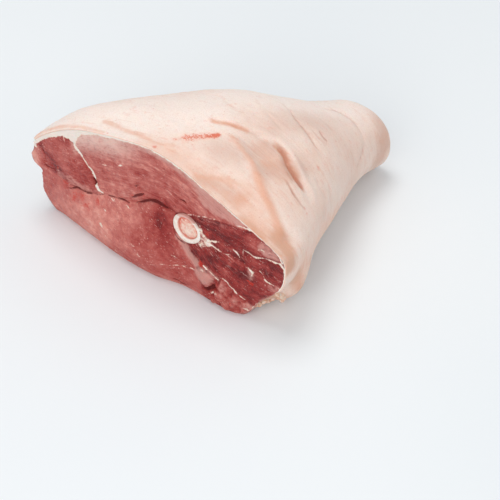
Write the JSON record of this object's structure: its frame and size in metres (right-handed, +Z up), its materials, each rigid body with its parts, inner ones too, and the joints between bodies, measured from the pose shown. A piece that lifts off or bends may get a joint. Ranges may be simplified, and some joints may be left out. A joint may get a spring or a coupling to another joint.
{
  "type": "raw pork leg joint",
  "caption": "Raw shank half of a pork leg lying on its side: pink rind over lean meat, with the sawn thigh bone and marrow in the cut face.",
  "frame": {"origin": "on the surface that the leg lies on, under the middle of its bounding box", "axes": "+X from the cut face along the leg to the shank, +Y to the hamstring side of the cut, +Z up"},
  "size_m": [0.2389, 0.2821, 0.137],
  "materials": {
    "rind": "satin",
    "lean": "moist satin",
    "fat": "satin",
    "bone": "matte",
    "marrow": "moist satin"
  },
  "bodies": {
    "root": {"leg": "rind", "thigh_bone": "bone", "thigh_marrow": "marrow", "shin_bone": "bone", "shin_marrow": "marrow", "calf_bone": "bone"}
  },
  "joints": []
}
